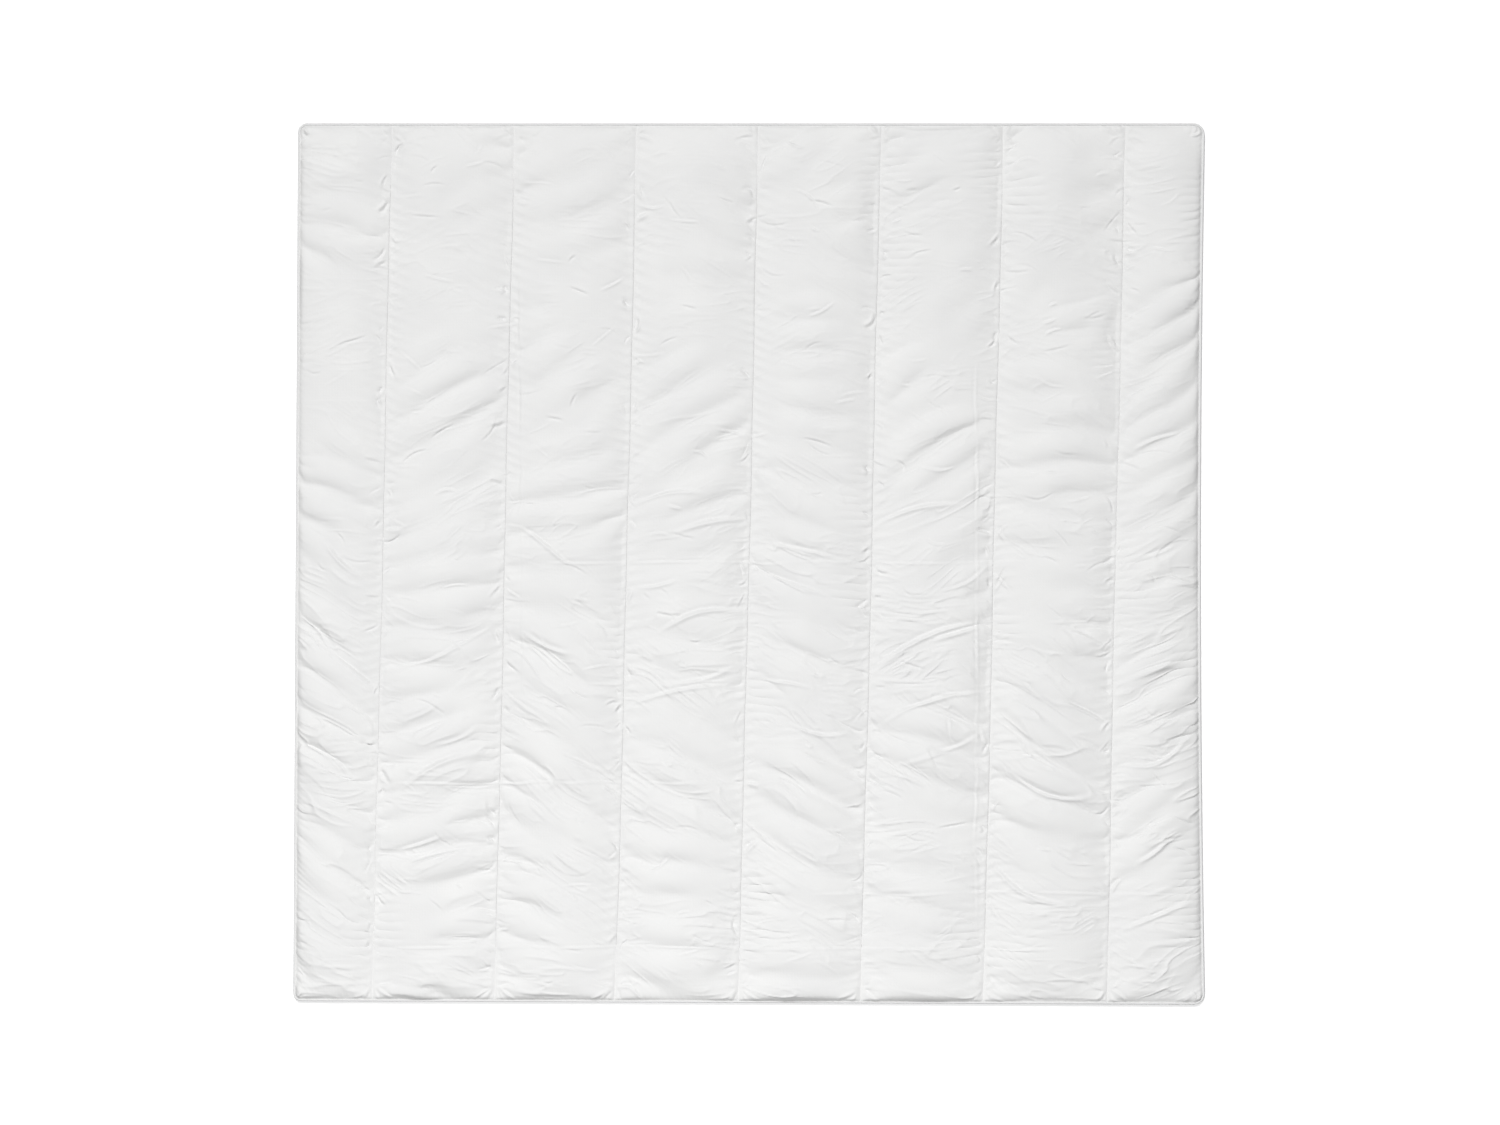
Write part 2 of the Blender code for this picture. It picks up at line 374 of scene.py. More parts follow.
def settle(points, target, free, pairs, steps, bend, bed):
    before = points.copy()
    for step in range(steps):
        drift = (points - before) * single(0.9)
        before[...] = points
        points += drift * free[..., None]
        z = points[..., 2]
        # squashed filling pushes back harder than slack cloth pulls down, so valleys are the sharper
        low = target - z
        z += (bed * np.where(low > 0, 1.8 * low, 0.5 * low) - bend * spread(spread(z))) * (free > 0)
        for first, second, length, shareFirst, shareSecond, push in pairs:
            gap = points[second] - points[first]
            now = np.sqrt(np.einsum("ijk,ijk->ij", gap, gap))
            error = (now - length) / now
            error *= np.where(error > 0, single(push[0]), single(push[1]))
            gap *= error[..., None]
            points[first] += gap * shareFirst
            points[second] -= gap * shareSecond
    return points


def simulateCloth(cloth, loftOf, side):
    # coarse pass for the large folds, then finer ones for their sharp parts
    points = None
    spacing = cloth["spacing"]
    shares = evenShares(spacing)
    rows = int(round(2 * halfLong / spacing)) + 1
    passes = cloth["passes"]
    for level, (count, bend, bed, part, patchy) in enumerate(passes):
        if level:
            rows = rows * 2 - 1
            shares = [np.arange(2 * len(s) - 1) / (2 * len(s) - 2) if c == channelCount - 1
                      else np.arange(2 * len(s)) / (2 * len(s)) for c, s in enumerate(shares)]
        rim = halfLong - duvet["rimInset"]
        y = np.linspace(-rim, rim, rows)
        flatX, flatY, channel, share = layOut(y, shares)
        free = holdDown(y, channel, share)
        target = loftOf(flatX, flatY, channel, share)
        along, across, pull = spareCloth(flatX, flatY, share, cloth, level)
        x, y2 = bowed(*rounded(flatX, flatY, duvet["rimInset"]))
        rest = np.stack([x, y2, target], -1).astype(single)
        if points is None:
            points = rest.copy()
            points[..., 2] += cloth["noise"] * free * softNoise(flatX, flatY, 0.09, 0.032, cloth["seed"])
        else:
            up = cubicRows(np.arange(rows) / 2, points.shape[0])
            wide = cubicRows(np.arange(rest.shape[1]) / 2, points.shape[1])
            points = np.stack([up @ points[..., k] @ wide.T for k in range(3)], -1)
            points[free == 0] = rest[free == 0]
            # the finer wrinkles ride on the larger ones
            target = 0.5 * target + 0.5 * points[..., 2]
        pairs = springs(points, rest, free, along, across, pull)
        points = settle(points, target, free, pairs, count, single(bend), single(bed))
        if side < 0:
            points[..., 2] = np.minimum(points[..., 2], plane - 0.0002)
    # the filling presses back against the folds and calms them
    level = loftOf(flatX, flatY, channel, share)
    points[..., 2] = level + cloth["relief"] * (points[..., 2] - level)
    print("cloth: %d by %d points settled" % points.shape[:2])
    return points, shares


# the fine grid that is shown
fine = {
    "row": 0.0026,            # grid spacing of the shown top cloth
    "column": 0.0028,
    "underRow": 0.0060,
    "underColumn": 0.0060,
    "narrowest": 0.0028,      # thinner creases would turn jagged on this grid
    "slide": 0.009,           # how far the cloth slides down its own slopes
    "besideLine": (0.0, 0.0012, 0.0026, 0.0043, 0.0064, 0.0090, 0.0118, 0.0144, 0.0170),
    "besideRim": (0.0, 0.0015, 0.0034, 0.0058, 0.0086, 0.0116),
    "underBesideLine": (0.0, 0.0020, 0.0050, 0.0085, 0.0125, 0.0170),
}


def packedSteps(start, end, length, spacing):
    # places from 0 to length, close together at both ends
    middle = length - start[-1] - end[-1]
    steps = max(int(round(middle / spacing)), 2)
    inner = start[-1] + middle * np.arange(1, steps) / steps
    return np.concatenate([start, inner, length - np.array(end)[::-1]])


def shownGrid(points, shares, rowSpacing, columnSpacing, besideLine):
    # samples the settled cloth on a grid that is close beside the quilting lines and the rim
    rim = halfLong - duvet["rimInset"]
    besideRim = fine["besideRim"]
    y = packedSteps(besideRim, besideRim, 2 * rim, rowSpacing) - rim
    rowPlaces = (y + rim) / (2 * rim) * (points.shape[0] - 1)
    edges = [float(e) for e in np.array(channelEdges(np.zeros(1)))[:, 0]]
    columnPlaces = []
    newShares = []
    firstColumn = 0
    for c in range(channelCount):
        wide = edges[c + 1] - edges[c]
        start = besideRim if c == 0 else besideLine
        end = besideRim if c == channelCount - 1 else besideLine
        t = packedSteps(start, end, wide, columnSpacing) / wide
        if c < channelCount - 1:
            t = t[:-1]
        steps = len(shares[c]) - (1 if c == channelCount - 1 else 0)
        newShares.append(t)
        columnPlaces.append(firstColumn + t * steps)
        firstColumn += steps
    up = cubicRows(rowPlaces, points.shape[0])
    wide = cubicRows(np.concatenate(columnPlaces), points.shape[1])
    shown = np.stack([up @ points[..., k] @ wide.T for k in range(3)], -1).astype(float)
    flatX, flatY, channel, share = layOut(y, newShares)
    flat = {"x": flatX, "y": flatY, "channel": channel, "share": share, "rows": y}
    return shown, flat


def sharpenValleys(shown, flat, amount):
    # cloth slides down into its valleys, which turn sharp while the crests stay round
    toLeft, toRight = besideLines(flat)
    free = ramp(np.minimum(toLeft, toRight), 0.002, 0.022)
    free = free * ramp(halfLong - np.abs(flat["rows"]), 0.010, 0.035)[:, None]
    for k in (0, 1):
        slope = np.gradient(shown[..., 2], axis=1 - k) / np.gradient(shown[..., k], axis=1 - k)
        shown[..., k] -= amount * free * np.clip(slope, -0.4, 0.4)


foldRoom = {
    "atLine": 0.0016,         # height left free at the quilting line
    "climb": 0.54,            # and how fast it grows away from the line
    "sewnReach": 0.0032,      # how far the piping holds the cloth down
}


def keepFoldRoom(z, flat):
    # a full fold leaves 60 degrees between two channels, so the cloth beside a line stays under 30
    toLeft, toRight = besideLines(flat)
    toLeft = toLeft + 9 * (flat["channel"] == 0)[None, :]
    toRight = toRight + 9 * (flat["channel"] == channelCount - 1)[None, :]
    room = foldRoom["atLine"] + foldRoom["climb"] * np.minimum(toLeft, toRight)
    z[...] = plane + room * np.tanh((z - plane) / room)


def sewDownRim(z, flat, rimHeight):
    # no fold lifts the cloth off the piping that it is sewn to
    toLeft, toRight = besideLines(flat)
    toSide = np.minimum(np.where(flat["channel"][None, :] == 0, toLeft, 9),
                        np.where(flat["channel"][None, :] == channelCount - 1, toRight, 9))
    toEnd = halfLong - duvet["rimInset"] - np.abs(flat["rows"])[:, None]
    free = 1 - np.exp(-(np.minimum(toSide, toEnd) / foldRoom["sewnReach"]) ** 2)
    z[...] = rimHeight + (z - rimHeight) * free


def besideLines(flat):
    # distance of every point from the quilting line or rim on its left and on its right
    edges = channelEdges(flat["rows"])
    wide = np.stack([edges[c + 1] - edges[c] for c in flat["channel"]], 1)
    return flat["share"][None, :] * wide, (1 - flat["share"])[None, :] * wide


def smoothRows(values, reach):
    kernel = np.hanning(2 * reach + 1)
    return np.convolve(np.pad(values, reach, mode="edge"), kernel / kernel.sum(), mode="valid")


# gathers and creases
gathers = {
    "lift": 0.0042,           # how far the cloth stands over the stitches beside them
    "liftReach": 0.0026,
    "liftWidth": 0.016,
    "fineHeight": 0.00100,    # the little puckers that each pull of the thread makes
    "fineLength": (0.0065, 0.0125),
    "fineReach": 0.0085,
    "longHeight": 0.0022,     # the fewer that run on into the channel
    "longLength": (0.014, 0.040),
    "longReach": 0.030,
    "slant": 0.35,
    "waveTaller": 1.7,
}
edgePuckers = {
    "height": 0.0011,
    "length": (0.011, 0.021),
    "reach": (0.006, 0.022),  # on the calm side and on the puckered side
    "shoulder": 0.0046,       # how far the filled edge stands over the piping
    "shoulderReach": 0.0055,
}
# sharp thin lines that washing and packing leave, along the folds that they lie on
crumples = {
    "turns": (-0.62, -0.04, 0.46),    # falling to the right, level and rising to the right, in radians
    "long": {"length": 0.110, "width": 0.0170, "height": 0.0042, "sharpness": 3.0,
             "cover": 0.46, "seed": 501},
    "short": {"length": 0.060, "width": 0.0110, "height": 0.0024, "sharpness": 2.3,
              "cover": 0.46, "seed": 541},
}


def crumpleTop(z, flat):
    x = flat["x"]
    y = flat["y"]
    pull = spareCloth(x, y, flat["share"], topCloth, 0)[2]
    falling = ramp(pull, 0.004, 0.030)
    rising = ramp(-pull, 0.004, 0.030)
    weights = (falling, 1 - falling - rising, rising)
    toLeft, toRight = besideLines(flat)
    nearLine = np.minimum(toLeft, toRight)
    pinned = 1 - np.exp(-nearLine / 0.004)
    for kind in ("long", "short"):
        look = crumples[kind]
        seed = look["seed"]
        gate = ramp(softNoise(x, y, 0.10, 0.07, seed) + 0.8 * (2 * look["cover"] - 1), -0.5, 1.0)
        gate = gate * (0.45 + 0.55 * ramp(-y, -0.35, 0.10))
        for k, turn in enumerate(crumples["turns"]):
            u = x * math.cos(turn) + y * math.sin(turn)
            v = y * math.cos(turn) - x * math.sin(turn)
            v = v + 0.010 * softNoise(x, y, 0.11, 0.11, seed + 1 + k)
            hills = softNoise(u, v, look["length"], look["width"], seed + 4 + k)
            lines = np.clip(1 - np.abs(hills) * 1.3, 0, 1) ** look["sharpness"]
            z += look["height"] * weights[k] * gate * pinned * (lines - 0.15)


def waves(places, shortest, longest, rng):
    # phase along a seam, with a wavelength that keeps changing
    step = np.abs(np.diff(places, prepend=places[0]))
    mean = step[step > 0].mean()
    lengths = shortest + (longest - shortest) * rng.random(len(places))
    lengths = smoothRows(lengths, max(int(0.5 * (shortest + longest) / mean), 2))
    return 2 * np.pi * np.cumsum(step / lengths)


def slantedWave(phase, places, y, rng, reach):
    # the wave read at a slanted height, sharper in its valleys than on its crests
    at = np.interp(y, places, phase)
    strength = smoothRows(rng.random(len(places)) ** 1.5 * 1.9, reach)
    size = np.interp(y, places, strength)
    return (0.55 - np.abs(np.sin(at / 2)) ** 1.4) * size * gathers["waveTaller"]


def gatherSeams(z, flat, share=1.0, seed=31):
    rows = flat["rows"]
    toLeft, toRight = besideLines(flat)
    stitched = ramp(rows, stitchFoot - 0.006, stitchFoot + 0.006)
    stitched = (stitched * (1 - ramp(rows, stitchHead - 0.006, stitchHead + 0.006)))[:, None]
    for c in range(channelCount):
        columns = np.flatnonzero(flat["channel"] == c)
        for distance, isLine, way in ((toLeft, c > 0, 1), (toRight, c < channelCount - 1, -1)):
            if not isLine:
                continue
            rng = np.random.default_rng(seed + 10 * c + way)
            d = distance[:, columns]
            y = flat["y"][:, columns]
            lift = gathers["lift"] * (1 - np.exp(-d / gathers["liftReach"]))
            lift = lift * np.exp(-d / gathers["liftWidth"])
            slant = gathers["slant"] * way * np.where(y > 0.2, 1.0, -0.5)
            places = np.linspace(-1.2, 1.2, 1200)
            phase = waves(places, *gathers["fineLength"], rng)
            wave = slantedWave(phase, places, y + slant * d, rng, 9)
            small = gathers["fineHeight"] * wave * np.exp(-d / gathers["fineReach"])
            phase = waves(places, *gathers["longLength"], rng)
            wave = slantedWave(phase, places, y + slant * d + 0.004 * np.sin(y * 23), rng, 30)
            large = gathers["longHeight"] * wave * np.exp(-d / gathers["longReach"])
            large = large * (1 - np.exp(-d / 0.004))
            pinned = 1 - np.exp(-d / 0.0012)
            z[:, columns] += share * stitched * (lift + (small + large) * pinned)


def puckerRim(x, y, z, flat, share=1.0, seed=91):
    # short puckers where the cloth is eased into the piping
    rng = np.random.default_rng(seed)
    rimX = halfWide - duvet["rimInset"]
    rimY = halfLong - duvet["rimInset"]
    places = np.linspace(-1.3, 1.3, 1300)
    flatX = flat["x"]
    flatY = flat["y"]
    sides = ((rimX + flatX, flatY, 0), (rimX - flatX, flatY, 1), (rimY + flatY, flatX, 2),
             (rimY - flatY, flatX, 3))
    for distance, runs, which in sides:
        phase = waves(places, *edgePuckers["length"], rng)
        calm, full = edgePuckers["reach"]
        if which == 0:
            reach = calm + (full - calm) * ramp(-flatY, 0.3, 0.6)
        elif which == 1:
            reach = calm + 0.4 * (full - calm) * ramp(-flatY, 0.3, 0.7)
        else:
            reach = calm + 0.3 * (full - calm) * (1 if which == 2 else 0.4)
        bend = runs + (0.5 if which == 0 else 0.2) * distance + 6.0 * distance ** 2
        wave = slantedWave(phase, places, bend, rng, 14)
        near = np.exp(-np.clip(distance, 0, 1) / reach) * (1 - np.exp(-np.clip(distance, 0, 1) / 0.002))
        z += share * edgePuckers["height"] * wave * near * (distance < 0.12)
    toRim = np.minimum(rimX - np.abs(flatX), rimY - np.abs(flatY))
    shoulder = (1 - np.exp(-toRim / edgePuckers["shoulderReach"])) * np.exp(-toRim / 0.09)
    z += share * edgePuckers["shoulder"] * shoulder


steepest = 0.95               # a crease is at least this share of its height wide


def crease(z, flat, route, width, height, soft=0.6):
    # a raised fold along a route of points, with the hollow beside it that lets it show
    route = np.array(route, float)
    width = max(width, fine["narrowest"], steepest * abs(height))
    margin = width * 4
    rows = np.flatnonzero((flat["rows"] > route[:, 1].min() - margin)
                          & (flat["rows"] < route[:, 1].max() + margin))
    if not len(rows):
        return
    rowSpan = slice(rows[0], rows[-1] + 1)
    middle = flat["x"][(rows[0] + rows[-1]) // 2]
    columns = np.flatnonzero((middle > route[:, 0].min() - margin - 0.02)
                             & (middle < route[:, 0].max() + margin + 0.02))
    if not len(columns):
        return
    span = (rowSpan, slice(columns[0], columns[-1] + 1))
    x = flat["x"][span]
    y = flat["y"][span]
    lengths = np.hypot(*np.diff(route, axis=0).T)
    total = lengths.sum()
    best = np.full(x.shape, 9.0)
    across = np.full(x.shape, 9.0)
    along = np.zeros(x.shape)
    run = 0.0
    for (ax, ay), (bx, by), length in zip(route[:-1], route[1:], lengths):
        ux = (bx - ax) / length
        uy = (by - ay) / length
        t = np.clip((x - ax) * ux + (y - ay) * uy, 0, length)
        dx = x - ax - t * ux
        dy = y - ay - t * uy
        distance = np.hypot(dx, dy)
        nearer = distance < best
        best = np.where(nearer, distance, best)
        across = np.where(nearer, np.sign(ux * dy - uy * dx) * distance, across)
        along = np.where(nearer, (run + t) / total, along)
        run += length
    fade = np.sin(np.pi * np.clip(along, 0.02, 0.98)) ** 0.7
    ridge = np.exp(-(across / width) ** 2)
    hollow = np.exp(-((across - 1.5 * width) / (1.3 * width)) ** 2)
    z[span] += height * fade * (ridge - soft * hollow)


def curved(start, end, bow, points=7):
    # a route from start to end that bows to its left by bow times its length
    a = np.array(start, float)
    b = np.array(end, float)
    t = np.linspace(0, 1, points)[:, None]
    side = np.array([-(b - a)[1], (b - a)[0]])
    return a + (b - a) * t + side * bow * np.sin(np.pi * t)


# drags that the cloth keeps in a channel: how many, between which shares of the length from the foot,
# and how far they climb for each metre toward +X
channelDrags = {
    "channels": {
        1: (5, 0.15, 0.60, -0.8),
        2: (5, 0.10, 0.40, 0.4),
        3: (4, 0.25, 0.55, -0.7),
        4: (6, 0.30, 0.60, 0.2),
        5: (4, 0.25, 0.60, -0.3),
        6: (6, 0.25, 0.55, 0.4),
        7: (4, 0.15, 0.50, -0.6),
        8: (6, 0.05, 0.65, 0.7),
    },
    "reach": (0.30, 0.85),      # share of the channel's width
    "steepness": (0.5, 1.3),    # share of the climb above
    "bow": 0.08,
    "width": (0.0024, 0.0056),
    "height": (0.0024, 0.0060),
    "seed": 419,
}
# marks of storage: the duvet is halved again and again to go in its bag
storageFolds = {
    "across": (1 / 2, 1 / 4, 1 / 8, 1 / 16),    # shares of the length, from the foot
    "upright": (1 / 4, 3 / 4),                  # shares of the width
    "shows": (0.40, 0.75),                      # share of a line that has not relaxed
    "fromEdge": 0.02,                           # share that always stays clear at the edge
    "step": 0.11,
    "wander": 0.0022,
    "width": (0.0018, 0.0022),
    "height": (0.0008, 0.0028),
    "seed": 433,
}
looseCreases = {
    "besideLines": 230,       # short sharp ones that start at the stitches
    "besideTaller": 1.7,
    "besideWithin": 1.02,     # how far from the middle of the length they reach
    "besideWidth": (0.0018, 0.0028),
    "within": (1.08, 1.05),   # how far from the middle the others lie, across and along
    "shortLength": (0.014, 0.045),
    "count": 380,
    "length": (0.018, 0.080),
    "width": (0.0018, 0.0034),
    "height": (0.0008, 0.0034),
    "seed": 404,
}


def dragChannels(z, flat):
    looks = channelDrags
    rng = np.random.default_rng(looks["seed"])
    for channel, (count, low, high, climb) in looks["channels"].items():
        for step in range(count):
            share = low + (high - low) * (step + rng.uniform(0.1, 0.9)) / count
            y = placeAt(share, halfLong)
            left, right = channelSides(channel, y)
            reach = (right - left) * rng.uniform(*looks["reach"])
            x = rng.uniform(left, right - reach)
            rise = reach * climb * rng.uniform(*looks["steepness"])
            route = curved((x, y), (x + reach, y + rise), rng.normal(0, looks["bow"]))
            crease(z, flat, route, rng.uniform(*looks["width"]), rng.uniform(*looks["height"]))


def foldMark(z, flat, start, end, rng):
    looks = storageFolds
    points = int(math.dist(start, end) / looks["step"]) + 3
    route = curved(start, end, 0.0, points)
    route += rng.normal(0, looks["wander"], route.shape)
    # it shows in stretches, as the cloth has relaxed between them
    for first in range(0, points - 2, 2):
        width = rng.uniform(*looks["width"])
        crease(z, flat, route[first:first + 3], width, rng.uniform(*looks["height"]))


def markStorage(z, flat):
    looks = storageFolds
    rng = np.random.default_rng(looks["seed"])
    for share in looks["across"]:
        shows = rng.uniform(*looks["shows"])
        begin = rng.uniform(looks["fromEdge"], 1 - looks["fromEdge"] - shows)
        y = placeAt(share, halfLong)
        end = placeAt(begin + shows, halfWide)
        foldMark(z, flat, (placeAt(begin, halfWide), y), (end, y), rng)
    for share in looks["upright"]:
        shows = rng.uniform(*looks["shows"])
        begin = rng.uniform(looks["fromEdge"], 1 - looks["fromEdge"] - shows)
        x = placeAt(share, halfWide)
        end = placeAt(begin + shows, halfLong)
        foldMark(z, flat, (x, placeAt(begin, halfLong)), (x, end), rng)


def creaseTop(z, flat):
    dragChannels(z, flat)
    markStorage(z, flat)
    looks = looseCreases
    rng = np.random.default_rng(looks["seed"])
    for _ in range(looks["count"]):
        x = rng.uniform(-looks["within"][0], looks["within"][0])
        y = rng.uniform(-looks["within"][1], looks["within"][1])
        length = rng.uniform(*looks["length"])
        width = rng.uniform(*looks["width"])
        height = rng.uniform(*looks["height"])
        lower = 1 - float(ramp(np.float64(y), -0.1, 0.3))
        turn = rng.normal(-0.35 * lower, 0.38)
        bow = rng.normal(0, 0.08)
        ends = np.array([math.cos(turn), math.sin(turn)]) * length / 2
        hollow = 1 if rng.random() < 0.5 else -1
        route = curved((x - ends[0], y - ends[1]), (x + ends[0], y + ends[1]), bow)
        crease(z, flat, route, width, hollow * height)
    for _ in range(looks["besideLines"]):
        y = rng.uniform(-looks["besideWithin"], looks["besideWithin"])
        side = rng.choice((-1, -1, 1))
        line = int(rng.integers(1, lineCount + 1))
        x = float(lineX(line, np.array([y]))[0]) + side * rng.uniform(0.003, 0.012)
        length = rng.uniform(*looks["shortLength"])
        turn = rng.choice((-1, 1)) * rng.uniform(0.1, 1.25)
        tip = (x + side * math.cos(turn) * length, y + math.sin(turn) * length)
        height = rng.choice((-1, 1)) * rng.uniform(*looks["height"]) * looks["besideTaller"]
        route = curved((x, y), tip, rng.normal(0, 0.1))
        crease(z, flat, route, rng.uniform(*looks["besideWidth"]), height)


fans = {
    "headAngles": (-48, -26, -6, 20, 44),
    "footAngles": (-66, -44, -24, -4, 18, 40, 62),
    "height": 0.0042,
    "width": (0.0020, 0.0036),
    "reachShare": 0.92,       # share of the way from the last stitch to the edge
    "backReach": (0.030, 0.075),
    "backWidth": 0.0036,
    "backHeight": 0.0016,
    "seed": 55,
}


def openFans(z, flat):
    # the cloth springs open past the last stitch, in folds that fan out to the edge
    rng = np.random.default_rng(fans["seed"])
    for n in range(1, lineCount + 1):
        for end, way, angles in ((stitchHead, 1, fans["headAngles"]), (stitchFoot, -1, fans["footAngles"])):
            x = float(lineX(n, np.array([end]))[0])
            reach = (halfLong - abs(end)) * fans["reachShare"]
            for angle in angles:
                turn = math.radians(angle + rng.normal(0, 7))
                far = reach * rng.uniform(0.8, 1.0) / max(math.cos(turn), 0.45)
                start = (x + 0.002 * math.sin(turn), end + way * 0.001)
                tip = (x + math.sin(turn) * far, end + way * math.cos(turn) * far)
                height = fans["height"] * rng.uniform(0.5, 1.15)
                route = curved(start, tip, rng.normal(0, 0.10))
                crease(z, flat, route, rng.uniform(*fans["width"]), height)
            # and a few that run back into the channels beside the line
            for side in (-1, 1):
                for _ in range(2 if way > 0 else 3):
                    turn = math.radians(rng.uniform(20, 75))
                    far = rng.uniform(*fans["backReach"])
                    tip = (x + side * math.sin(turn) * far, end - way * math.cos(turn) * far * 0.6)
                    route = curved((x, end), tip, side * way * 0.12)
                    crease(z, flat, route, fans["backWidth"], fans["backHeight"] * rng.uniform(0.4, 1))


cornerFolds = {"count": 7, "width": 0.0026, "height": 0.0013, "seed": 77}


def cornerPuckers(z, flat):
    rng = np.random.default_rng(cornerFolds["seed"])
    for (signX, signY), radius in zip(cornerSigns, duvet["cornerRadii"]):
        centre = np.array([signX * (halfWide - radius), signY * (halfLong - radius)])
        for angle in np.linspace(4, 86, cornerFolds["count"]):
            turn = math.radians(angle + rng.normal(0, 4))
            way = np.array([signX * math.cos(turn), signY * math.sin(turn)])
            inner = centre + way * radius * 0.05 - way * rng.uniform(0, 0.018)
            outer = centre + way * (radius - 0.007)
            route = curved(inner, outer, rng.normal(0, 0.1))
            crease(z, flat, route, cornerFolds["width"], cornerFolds["height"] * rng.uniform(0.5, 1.2))


# meshes from grids
def pointNormals(points, side):
    along = np.gradient(points, axis=0)
    across = np.gradient(points, axis=1)
    normals = np.cross(across, along) * side
    return normals / np.linalg.norm(normals, axis=-1, keepdims=True)


def gridFaces(rows, columns, side, loop=False):
    index = np.arange(rows * columns).reshape(rows, columns)
    right = np.roll(index, -1, axis=1) if loop else index[:, 1:]
    left = index if loop else index[:, :-1]
    faces = np.stack([left[:-1], right[:-1], right[1:], left[1:]], -1).reshape(-1, 4)
    return faces if side > 0 else faces[:, ::-1]


def meshObject(name, points, faces, normals=None):
    points = np.asarray(points, float).reshape(-1, 3)
    mesh = bpy.data.meshes.new(name)
    mesh.vertices.add(len(points))
    mesh.vertices.foreach_set("co", points.astype(single).ravel())
    corners = faces.shape[1]
    mesh.loops.add(faces.size)
    mesh.loops.foreach_set("vertex_index", faces.astype(np.int32).ravel())
    mesh.polygons.add(len(faces))
    mesh.polygons.foreach_set("loop_start", np.arange(0, faces.size, corners, dtype=np.int32))
    mesh.polygons.foreach_set("loop_total", np.full(len(faces), corners, np.int32))
    mesh.update(calc_edges=True)
    mesh.validate()
    mesh.polygons.foreach_set("use_smooth", np.ones(len(mesh.polygons), bool))
    if normals is not None:
        mesh.normals_split_custom_set_from_vertices(np.asarray(normals, float).reshape(-1, 3))
    piece = bpy.data.objects.new(name, mesh)
    scene.collection.objects.link(piece)
    return piece


def gridPiece(name, points, normals, first, last, side):
    part = points[:, first:last + 1]
    faces = gridFaces(part.shape[0], part.shape[1], side)
    return meshObject(name, part, faces, normals[:, first:last + 1])


# which body each piece goes with
def channelBody(c):
    return f"channel_{c + 1}"


def bendAcross(piece):
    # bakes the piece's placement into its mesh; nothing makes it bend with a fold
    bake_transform(piece)


# materials
def linear(hexColour):
    values = [int(hexColour[i:i + 2], 16) / 255 for i in (1, 3, 5)]
    return tuple(v / 12.92 if v <= 0.04045 else ((v + 0.055) / 1.055) ** 2.4 for v in values) + (1.0,)


def addNode(tree, kind, settings=None, links=None):
    # settings sets properties or socket values by name; links joins sockets to other nodes' outputs
    node = tree.nodes.new(kind)
    for key, value in (settings or {}).items():
        if isinstance(key, str) and hasattr(node, key):
            setattr(node, key, value)
        else:
            node.inputs[key].default_value = value
    for key, source in (links or {}).items():
        tree.links.new(node.inputs[key], source)
    return node


# Cover cloth: brushed polyester microfibre in plain weave, 0.2 mm threads. A matt, slightly silky white
# with a soft sheen at grazing angles and faint uneven patches where the cloth has been pressed.
microfibre = {
    "cloth": "#dededd",
    "pressed": "#d6d6d6",
    "roughness": 0.82,
    "ior": 1.46,
    "sheen": 0.12,
    "sheenRoughness": 0.45,
    "crumpleHeight": 0.00030,     # the soft crumple of washed cloth, 6 to 12 mm across
    "lineHeight": 0.0012,     # thin lines where it was once pressed into creases
    "threads": 900,           # per metre: 1.1 mm, as the real 0.2 mm threads are too fine to show
    "weaveHeight": 0.00006,
    "slubHeight": 0.00025,
}


